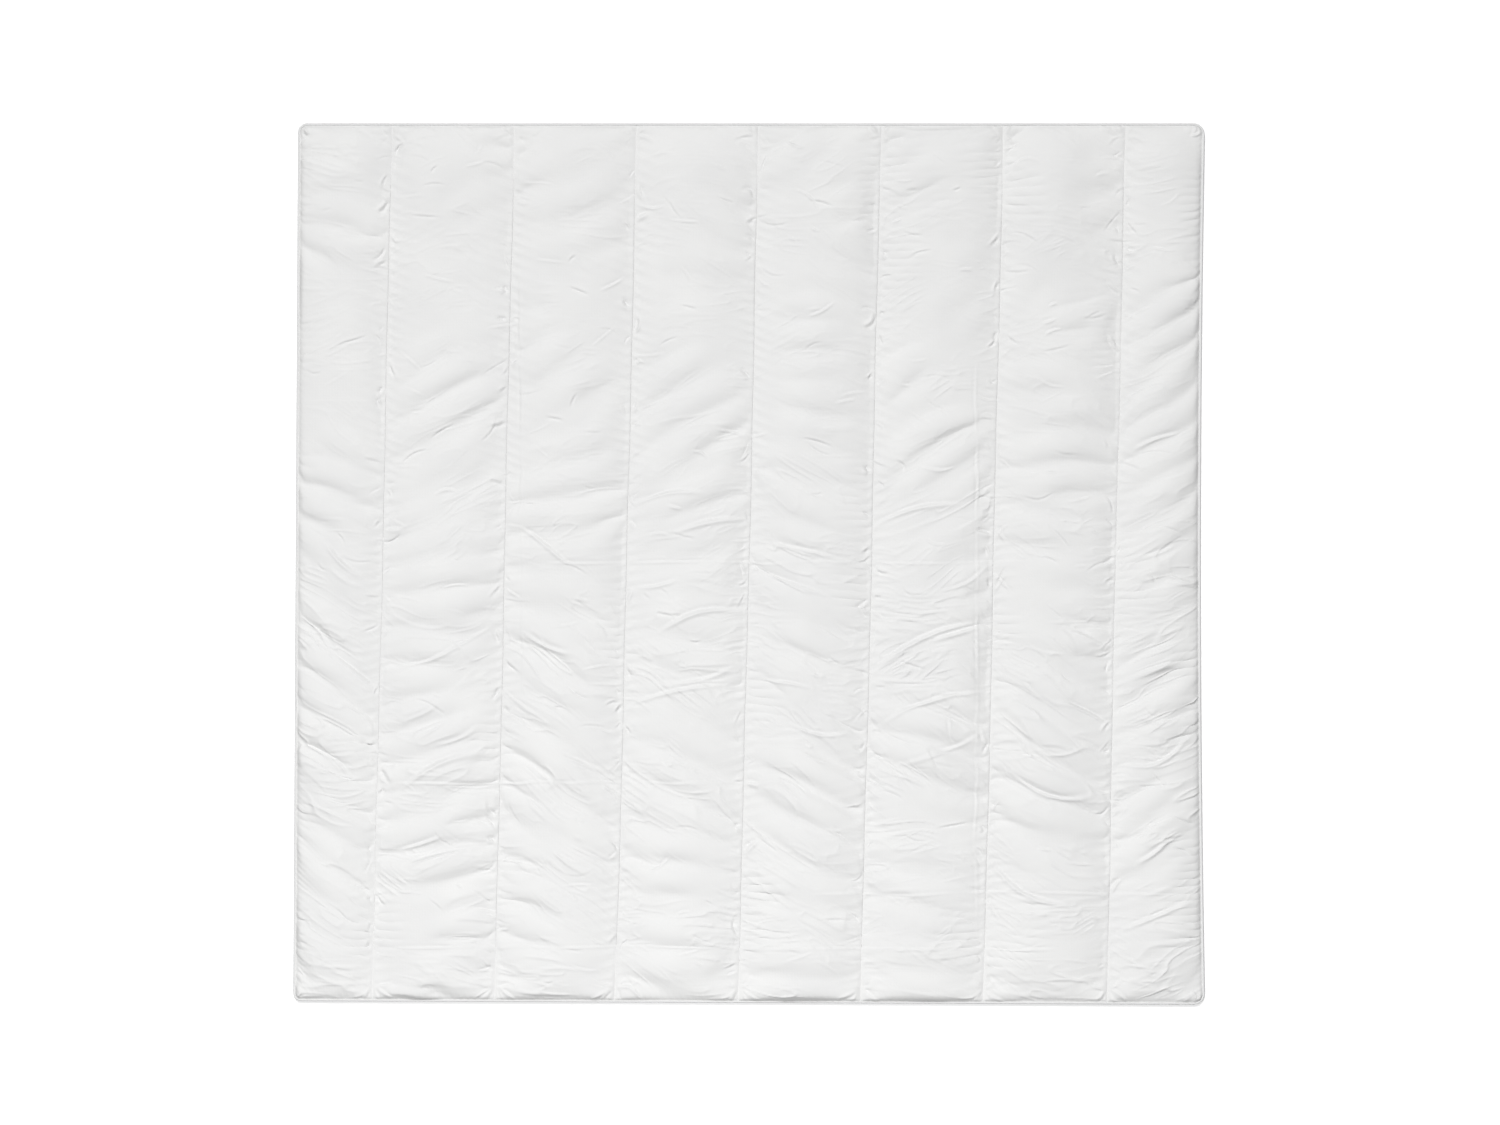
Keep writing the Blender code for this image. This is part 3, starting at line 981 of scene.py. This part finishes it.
def wovenCloth(name, look):
    material = bpy.data.materials.new(name)
    material.use_nodes = True
    tree = material.node_tree
    tree.nodes.clear()
    place = addNode(tree, "ShaderNodeTexCoord").outputs["Object"]
    patches = addNode(tree, "ShaderNodeTexNoise", {"Scale": 7.0, "Detail": 3.0, "Roughness": 0.55},
                      {"Vector": place})
    tone = addNode(tree, "ShaderNodeMix", {"data_type": "RGBA", 6: linear(look["cloth"]),
                   7: linear(look["pressed"])}, {0: patches.outputs[0]})
    warp = addNode(tree, "ShaderNodeTexWave", {"wave_type": "BANDS", "bands_direction": "X",
                   "Scale": look["threads"] / 20, "Distortion": 0.6, "Detail": 1.0}, {"Vector": place})
    weft = addNode(tree, "ShaderNodeTexWave", {"wave_type": "BANDS", "bands_direction": "Y",
                   "Scale": look["threads"] / 20, "Distortion": 0.6, "Detail": 1.0}, {"Vector": place})
    weave = addNode(tree, "ShaderNodeMath", {"operation": "MULTIPLY"},
                    {0: warp.outputs[1], 1: weft.outputs[1]})
    crumple = addNode(tree, "ShaderNodeTexNoise", {"Scale": 55.0, "Detail": 3.0, "Roughness": 0.6,
                      "Distortion": 0.8}, {"Vector": place})
    crumpleBump = addNode(tree, "ShaderNodeBump", {"Strength": 1.0, "Distance": look["crumpleHeight"]},
                          {"Height": crumple.outputs[0]})
    lines = addNode(tree, "ShaderNodeTexNoise", {"noise_type": "RIDGED_MULTIFRACTAL", "Scale": 16.0,
                    "Detail": 2.0, "Roughness": 0.6, "Lacunarity": 2.3, "Distortion": 0.5}, {"Vector": place})
    lineBump = addNode(tree, "ShaderNodeBump", {"Strength": 1.0, "Distance": look["lineHeight"]},
                       {"Height": lines.outputs[0], "Normal": crumpleBump.outputs[0]})
    slubs = addNode(tree, "ShaderNodeTexNoise", {"Scale": 160.0, "Detail": 4.0, "Roughness": 0.6},
                    {"Vector": place})
    slubBump = addNode(tree, "ShaderNodeBump", {"Strength": 1.0, "Distance": look["slubHeight"]},
                       {"Height": slubs.outputs[0], "Normal": lineBump.outputs[0]})
    bump = addNode(tree, "ShaderNodeBump", {"Strength": 1.0, "Distance": look["weaveHeight"]},
                   {"Height": weave.outputs[0], "Normal": slubBump.outputs[0]})
    rough = addNode(tree, "ShaderNodeMapRange", {"From Min": 0.3, "From Max": 0.7,
                    "To Min": look["roughness"] - 0.05, "To Max": look["roughness"] + 0.06},
                    {"Value": patches.outputs[0]})
    shader = addNode(tree, "ShaderNodeBsdfPrincipled", {"IOR": look["ior"], "Sheen Weight": look["sheen"],
                     "Sheen Roughness": look["sheenRoughness"]},
                     {"Base Color": tone.outputs[2], "Roughness": rough.outputs[0],
                      "Normal": bump.outputs[0]})
    addNode(tree, "ShaderNodeOutputMaterial", {}, {"Surface": shader.outputs[0]})
    return material


coverCloth = wovenCloth("brushed microfibre", microfibre)
# The underside is the same cloth; the piping is cut on the bias from it
# Its greys are a little darker than the cover's: painted shade for the dark outline along the rim.
shadedPipingCloth = wovenCloth("bias-cut piping cloth", dict(microfibre, cloth="#d9d9d9", pressed="#d0d0d0",
                         threads=800, slubHeight=0.0004))

# Sewing thread: spun polyester, two plies twisted. A brighter glint along each stitch than the cloth has. Its
# mid grey is painted shade: the white thread is painted dark to stand for the shadow in the stitch groove.
grooveShadedThread = wovenCloth("spun polyester thread", dict(microfibre, cloth="#a2a2a2", pressed="#8f8f8f",
                          roughness=0.55, sheen=0.05, threads=3000, weaveHeight=0.0001))

# Filling: carded hollow polyester fibre. Loose, very matt and slightly warmer than the cloth.
fibreFilling = wovenCloth("hollow polyester fibre", dict(microfibre, cloth="#e6e5e1", pressed="#d9d7d0",
                          roughness=0.95, sheen=0.3, threads=400, slubHeight=0.003))


def dress(piece, material):
    piece.data.materials.append(material)


# covers
def coverPieces(word, points, flat, side, node):
    # a panel for each channel and a narrow strip at each quilting line, all cut from one grid
    normals = pointNormals(points, side)
    share = flat["share"]
    channel = flat["channel"]
    besideSteps = len(fine["besideLine"] if side > 0 else fine["underBesideLine"]) - 1
    lineColumns = [int(np.flatnonzero((channel == c) & (share == 0))[0]) for c in range(1, channelCount)]
    panels = []
    strips = []
    for c in range(channelCount):
        first = 0 if c == 0 else lineColumns[c - 1] + besideSteps
        last = points.shape[1] - 1 if c == channelCount - 1 else lineColumns[c] - besideSteps
        panel = gridPiece(f"{word}_panel_{c + 1}", points, normals, first, last, side)
        dress(panel, coverCloth)
        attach(panel, channelBody(c))
        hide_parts(f"{node}_{c + 1}")
        panels.append(panel)
    for n in range(1, lineCount + 1):
        column = lineColumns[n - 1]
        strip = gridPiece(f"{word}_seam_strip_{n}", points, normals, column - besideSteps,
                          column + besideSteps, side)
        dress(strip, coverCloth)
        bendAcross(strip)
        strips.append(strip)
    return panels, strips


topPoints, topShares = simulateCloth(topCloth, topLoft, 1)
shape, topFlat = shownGrid(topPoints, topShares, fine["row"], fine["column"], fine["besideLine"])
sharpenValleys(shape, topFlat, fine["slide"])
height = shape[..., 2]
gatherSeams(height, topFlat)
puckerRim(shape[..., 0], shape[..., 1], height, topFlat)
crumpleTop(height, topFlat)
creaseTop(height, topFlat)
openFans(height, topFlat)
cornerPuckers(height, topFlat)
keepFoldRoom(height, topFlat)
rimHeight = plane + 0.0006
sewDownRim(height, topFlat, rimHeight)
height[...] = np.maximum(height, rimHeight - 0.0003)
height[...] = np.minimum(height, crownTop + 0.0085)
topPanels, topStrips = coverPieces("top", shape, topFlat, 1, "top_cover")
print("top cover: %d points, crown %.1f mm" % (height.size, height.max() * 1000))

underPoints, underShares = simulateCloth(underCloth, underLoft, -1)
underShape, underFlat = shownGrid(underPoints, underShares, fine["underRow"], fine["underColumn"],
                                  fine["underBesideLine"])
underHeight = underShape[..., 2]
puckers = np.zeros_like(underHeight)
gatherSeams(puckers, underFlat, 0.55, 131)
puckerRim(underShape[..., 0], underShape[..., 1], puckers, underFlat, 0.6, 191)
underHeight -= puckers
# it rests on the ground, so what would hang lower is pressed flat
pressed = 0.0003
underHeight[...] = pressed + np.logaddexp(0, (underHeight - pressed) / 0.0009) * 0.0009
underHeight[...] = np.minimum(underHeight, plane - 0.0004)
underPanels, underStrips = coverPieces("under", underShape, underFlat, -1, "bottom_cover")
print("bottom cover: %d points" % underHeight.size)

# filling
filling = {
    "spacing": 0.010,
    "clearTop": 0.0014,
    "clearUnder": 0.0008,
    "besideLine": 0.0120,
    "besideRim": 0.0090,
}


def lowest(values, reach):
    # the lowest value near each point, so that a pad made from it stays under the folds
    out = values.copy()
    for axis in (0, 1):
        base = out.copy()
        for step in range(1, reach + 1):
            out = np.minimum(out, np.roll(base, step, axis))
            out = np.minimum(out, np.roll(base, -step, axis))
    return out


def sampled(grid, flat, y, c, t):
    # grid values at heights y and shares t of channel c
    columns = np.flatnonzero(flat["channel"] == c)
    shares = flat["share"][columns]
    if c < channelCount - 1:
        columns = np.append(columns, columns[-1] + 1)
        shares = np.append(shares, 1.0)
    rows = np.interp(y, flat["rows"], np.arange(len(flat["rows"])))
    low = np.minimum(rows.astype(int), len(flat["rows"]) - 2)
    part = (rows - low)[:, None]
    values = grid[:, columns]
    values = values[low] * (1 - part) + values[low + 1] * part
    return np.stack([np.interp(t, shares, row) for row in values])


topFloor = lowest(height, 3)
underCeiling = -lowest(-underHeight, 2)
for c in range(channelCount):
    rimLeft = filling["besideRim"] if c == 0 else filling["besideLine"]
    rimRight = filling["besideRim"] if c == channelCount - 1 else filling["besideLine"]
    edges = [float(e[0]) for e in channelEdges(np.zeros(1))]
    wide = edges[c + 1] - edges[c]
    t = np.linspace(rimLeft / wide, 1 - rimRight / wide, int(wide / filling["spacing"]) + 1)
    end = halfLong - duvet["rimInset"] - 0.009
    y = np.linspace(-end, end, int(2 * end / filling["spacing"]) + 1)
    x = sampled(shape[..., 0], topFlat, y, c, t)
    yy = sampled(shape[..., 1], topFlat, y, c, t)
    top = sampled(topFloor, topFlat, y, c, t) - filling["clearTop"]
    under = sampled(underCeiling, underFlat, y, c, t) + filling["clearUnder"]
    top -= 0.0012 * (1 + np.clip(softNoise(x, yy, 0.030, 0.034, 600 + c), -1, 1)) / 2
    middle = (top + under) / 2
    half = np.maximum((top - under) / 2, 0.0003)
    upper = np.stack([x, yy, middle + half], -1)
    lower = np.stack([x, yy, middle - half], -1)
    rows, columns = x.shape
    count = rows * columns
    ring = np.concatenate([np.arange(columns), np.arange(1, rows) * columns + columns - 1,
                           (rows - 1) * columns + np.arange(columns - 2, -1, -1),
                           np.arange(rows - 2, 0, -1) * columns])
    nextRing = np.roll(ring, -1)
    wall = np.stack([ring, ring + count, nextRing + count, nextRing], -1)[:, ::-1]
    faces = np.concatenate([gridFaces(rows, columns, 1), gridFaces(rows, columns, -1) + count, wall[:, ::-1]])
    corners = np.concatenate([upper.reshape(-1, 3), lower.reshape(-1, 3)])
    pad = meshObject(f"fibre_pad_{c + 1}", corners, faces)
    dress(pad, fibreFilling)
    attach(pad, channelBody(c))
    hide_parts(f"filling_{c + 1}")

# lockstitches
stitches = {
    "pitch": 0.0036,
    "length": 0.0031,
    "thread": 0.00028,        # half the thickness of the thread as it beds in
    "rise": 0.0003,
    "raise": 0.0006,          # over the cloth in the seam
    "sway": 0.00012,
}


def stitchRow(name, n, side, node):
    looks = stitches
    rng = np.random.default_rng(800 + n + 50 * side)
    count = int((stitchHead - stitchFoot) / looks["pitch"])
    starts = stitchFoot + looks["pitch"] * (np.arange(count) + 0.15)
    along = np.linspace(0, 1, 6)
    around = np.linspace(0, 2 * np.pi, 6, endpoint=False)
    y = starts[:, None] + looks["length"] * along[None, :]
    x = lineX(n, y) + rng.normal(0, looks["sway"], (count, 1)) + 0.0001 * side * (along[None, :] - 0.5)
    arch = np.sin(np.pi * along)[None, :] ** 0.6
    z = plane + side * (looks["raise"] + looks["rise"] * arch * rng.uniform(0.7, 1.1, (count, 1)))
    thick = looks["thread"] * (0.45 + 0.55 * arch) * np.ones((count, 1))
    ringX = x[..., None] + thick[..., None] * np.cos(around)
    ringZ = z[..., None] + thick[..., None] * np.sin(around)
    points = np.stack([ringX, np.repeat(y[..., None], 6, -1), ringZ], -1)
    tube = gridFaces(len(along), 6, 1, loop=True)
    caps = [[0, 1, 2, 3], [0, 3, 4, 5]]
    ends = 6 * (len(along) - 1)
    closing = np.array(caps + [[ends + i for i in cap[::-1]] for cap in caps])
    one = np.concatenate([tube, closing])
    step = len(along) * 6
    faces = (one[None] + step * np.arange(count)[:, None, None]).reshape(-1, 4)
    row = meshObject(name, points, faces)
    dress(row, grooveShadedThread)
    bendAcross(row)
    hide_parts(node)
    return row


needleRows = [stitchRow(f"needle_stitches_{n}", n, 1, f"needle_thread_{n}") for n in range(1, lineCount + 1)]
bobbinRows = [stitchRow(f"bobbin_stitches_{n}", n, -1, f"bobbin_thread_{n}") for n in range(1, lineCount + 1)]
print("stitches: %d rows" % (len(needleRows) + len(bobbinRows)))

# piping
piping = {
    "spacing": 0.0025,        # between rings along the cord
    "around": 20,
    "puckerHeight": 0.00022,
    "puckerLength": (0.006, 0.013),
}


def pipingRoute(spacing):
    # points round the whole outline, anticlockwise from the foot edge's left end
    inset = cordRadius
    left, right = -halfWide + inset, halfWide - inset
    low, high = -halfLong + inset, halfLong - inset
    radii = [r - inset for r in duvet["cornerRadii"]]
    route = []

    def straight(a, b):
        a, b = np.array(a), np.array(b)
        steps = int(np.hypot(*(b - a)) / spacing)
        route.append(a + (b - a) * (np.arange(steps) / steps)[:, None])

    def turn(centre, radius, start):
        steps = int(radius * math.pi / 2 / spacing * 1.6) + 4
        angles = math.radians(start) + np.arange(steps) / steps * math.pi / 2
        route.append(np.array(centre) + radius * np.stack([np.cos(angles), np.sin(angles)], -1))

    footLeft, footRight, headLeft, headRight = radii
    straight((left + footLeft, low), (right - footRight, low))
    turn((right - footRight, low + footRight), footRight, -90)
    straight((right, low + footRight), (right, high - headRight))
    turn((right - headRight, high - headRight), headRight, 0)
    straight((right - headRight, high), (left + headLeft, high))
    turn((left + headLeft, high - headLeft), headLeft, 90)
    straight((left, high - headLeft), (left, low + footLeft))
    turn((left + footLeft, low + footLeft), footLeft, 180)
    return np.concatenate(route)


def pipingRings():
    flatRoute = pipingRoute(piping["spacing"])
    x, y = bowed(flatRoute[:, 0], flatRoute[:, 1])
    route = np.stack([x, y], -1)
    ahead = np.roll(route, -1, 0) - np.roll(route, 1, 0)
    ahead /= np.linalg.norm(ahead, axis=1)[:, None]
    outward = np.stack([ahead[:, 1], -ahead[:, 0]], -1)
    run = np.concatenate([[0], np.cumsum(np.hypot(*np.diff(route, axis=0).T))])
    around = np.linspace(0, 2 * np.pi, piping["around"], endpoint=False)
    rng = np.random.default_rng(303)
    places = np.linspace(0, run[-1] + 0.1, 3600)
    phase = waves(places, *piping["puckerLength"], rng)
    # the bias-cut strip is eased round the cord, so its little folds run aslant
    at = run[:, None] + 0.0035 * np.sin(around)[None, :] + 0.002 * np.cos(2 * around)[None, :]
    wave = slantedWave(phase, places, at, rng, 20)
    # the seam that joins it to the covers pinches it on the inner side
    radius = cordRadius - 0.0003 + piping["puckerHeight"] * wave - 0.0004 * (np.cos(around)[None, :] < -0.9)
    points = np.empty((len(route), len(around), 3))
    points[..., :2] = route[:, None] + outward[:, None] * (radius * np.cos(around)[None, :])[..., None]
    points[..., 2] = plane + radius * np.sin(around)[None, :]
    return flatRoute, points


def pipingPiece(name, rings, wrap):
    part = np.take(rings, wrap, axis=0)
    faces = gridFaces(part.shape[0], part.shape[1], -1, loop=True)
    piece = meshObject(name, part, faces)
    dress(piece, shadedPipingCloth)
    return piece


flatRoute, rings = pipingRings()
ringCount = len(flatRoute)
cuts = []
for edge, way in ((-1, 1), (1, -1)):
    lines = range(1, lineCount + 1) if way > 0 else range(lineCount, 0, -1)
    onEdge = np.flatnonzero(np.abs(flatRoute[:, 1] - edge * (halfLong - cordRadius)) < 1e-6)
    for n in lines:
        centre = float(lineX(n, np.array([edge * halfLong]))[0])
        before = onEdge[np.argmin(np.abs(flatRoute[onEdge, 0] - (centre - way * duvet["stripHalf"])))]
        after = onEdge[np.argmin(np.abs(flatRoute[onEdge, 0] - (centre + way * duvet["stripHalf"])))]
        cuts.append((edge, n, int(before), int(after)))
sidePipes = {}
for i, (edge, n, before, after) in enumerate(cuts):
    word = "foot" if edge < 0 else "head"
    bridge = pipingPiece(f"{word}_piping_bend_{n}", rings, np.arange(before, after + 1))
    bendAcross(bridge)
    following = cuts[(i + 1) % len(cuts)]
    stop = following[2] + (ringCount if following[2] < after else 0)
    wrap = np.arange(after, stop + 1) % ringCount
    if following[0] != edge:
        c = channelCount - 1 if edge < 0 else 0
        pipe = pipingPiece("right_side_cord" if edge < 0 else "left_side_cord", rings, wrap)
        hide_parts("right_piping" if edge < 0 else "left_piping")
    else:
        c = n if edge < 0 else n - 1
        pipe = pipingPiece(f"{word}_cord_{c + 1}", rings, wrap)
        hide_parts(f"{word}_piping_{c + 1}")
    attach(pipe, channelBody(c))
    sidePipes.setdefault(c, []).extend([pipe, bridge])
print("piping: %d pieces" % (2 * len(cuts)))

# floor, light and camera
studio = {
    "floorSize": 40.0,
    "floorGlow": 0.22,        # a lit white backdrop
    "horizon": 0.07,          # brightness of the room at the level of the floor
    "ceiling": 0.35,          # how much brighter it is straight above, as under a diffuser
    "keyEnergy": 3400.0,
    "keyAt": (-2.7, 13.0, 17.0),
    "keySize": 7.0,
    "fillEnergy": 96.0,
    "fillAt": (-0.5, -2.7, 4.2),
    "fillSize": 2.0,
    "imageWide": 3.722,       # metres across the frame at the ground
    "lens": 85.0,
}


def backdropMaterial(name, colour, glow):
    # seamless paper: matt, with a little light of its own as a lit backdrop has
    material = bpy.data.materials.new(name)
    material.use_nodes = True
    tree = material.node_tree
    tree.nodes.clear()
    place = addNode(tree, "ShaderNodeTexCoord").outputs["Object"]
    grain = addNode(tree, "ShaderNodeTexNoise", {"Scale": 300.0, "Detail": 2.0}, {"Vector": place})
    bump = addNode(tree, "ShaderNodeBump", {"Strength": 0.2, "Distance": 0.0002},
                   {"Height": grain.outputs[0]})
    shader = addNode(tree, "ShaderNodeBsdfPrincipled", {"Base Color": linear(colour),
                     "Roughness": 0.9, "Emission Color": (1, 1, 1, 1), "Emission Strength": glow},
                     {"Normal": bump.outputs[0]})
    addNode(tree, "ShaderNodeOutputMaterial", {}, {"Surface": shader.outputs[0]})
    return material


def backdropSheet(name, height, material):
    half = studio["floorSize"] / 2
    points = [(-half, -half, height), (half, -half, height), (half, half, height), (-half, half, height)]
    sheet = meshObject(name, points, np.array([[0, 1, 2, 3]]))
    sheet.data.materials.append(material)
    return sheet


# the lit paper is what the camera sees; a grey board just under it sends back the duller bounce light
floor = backdropSheet("floor", 0, backdropMaterial("white backdrop paper", "#f9f9f9", studio["floorGlow"]))
floor.visible_diffuse = False
board = backdropSheet("dark_board", -0.004, backdropMaterial("grey felt board", "#9a9a9a", 0))
board.visible_camera = False


def softBox(name, place, size, energy):
    lamp = bpy.data.lights.new(name, "AREA")
    lamp.shape = "DISK"
    lamp.size = size
    lamp.energy = energy
    holder = bpy.data.objects.new(name, lamp)
    holder.location = place
    holder.rotation_euler = (-Vector(place)).to_track_quat("-Z", "Y").to_euler()
    scene.collection.objects.link(holder)


softBox("key soft box", studio["keyAt"], studio["keySize"], studio["keyEnergy"])
softBox("overhead fill", studio["fillAt"], studio["fillSize"], studio["fillEnergy"])
world = bpy.data.worlds.new("studio air")
world.use_nodes = True
air = world.node_tree
look = addNode(air, "ShaderNodeTexCoord").outputs["Generated"]
upward = addNode(air, "ShaderNodeSeparateXYZ", {}, {0: look}).outputs[2]
glow = addNode(air, "ShaderNodeMapRange", {"From Min": 0.0, "From Max": 1.0, "To Min": studio["horizon"],
               "To Max": studio["horizon"] + studio["ceiling"]}, {"Value": upward})
air.links.new(air.nodes["Background"].inputs[1], glow.outputs[0])
air.nodes["Background"].inputs[0].default_value = (1, 1, 1, 1)
scene.world = world
scene.view_settings.view_transform = "Standard"
scene.view_settings.look = "None"
scene.view_settings.exposure = 0
scene.view_settings.gamma = 1

lensData = bpy.data.cameras.new("camera")
lensData.lens = studio["lens"]
lensData.sensor_width = 36
camera = bpy.data.objects.new("camera", lensData)
camera.location = (0.0025, 0.0012, studio["imageWide"] * studio["lens"] / 36)
scene.collection.objects.link(camera)
lensData.clip_end = 100
scene.camera = camera
print("studio ready")
